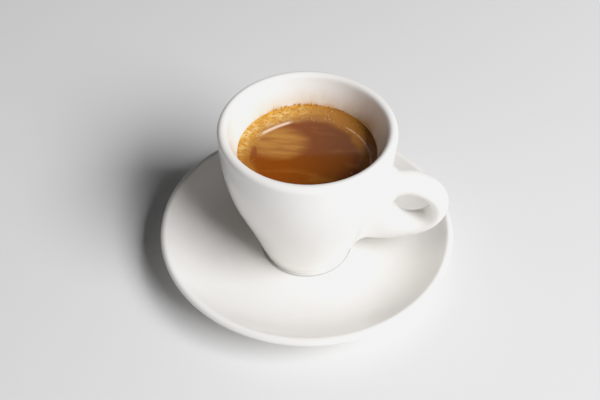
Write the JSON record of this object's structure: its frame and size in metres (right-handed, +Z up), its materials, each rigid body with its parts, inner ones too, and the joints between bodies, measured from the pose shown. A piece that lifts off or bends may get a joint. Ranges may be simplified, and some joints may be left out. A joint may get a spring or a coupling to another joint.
{
  "type": "espresso shot",
  "caption": "Espresso with a golden brown crema in a thick white porcelain cup with an ear handle and oval finger hole, standing on a matching round saucer",
  "frame": {"origin": "middle of the saucer's underside, on the table", "axes": "+X from the cup's axis out through the handle, +Y to the right as seen from the handle's end, +Z up"},
  "size_m": [0.115, 0.115, 0.0677],
  "materials": {
    "saucer_porcelain": "gloss",
    "cup_porcelain": "gloss",
    "coffee": "gloss",
    "crema": "gloss"
  },
  "bodies": {
    "root": {"saucer": "saucer_porcelain", "cup": "cup_porcelain", "espresso": "coffee", "crema": "crema"}
  },
  "joints": []
}
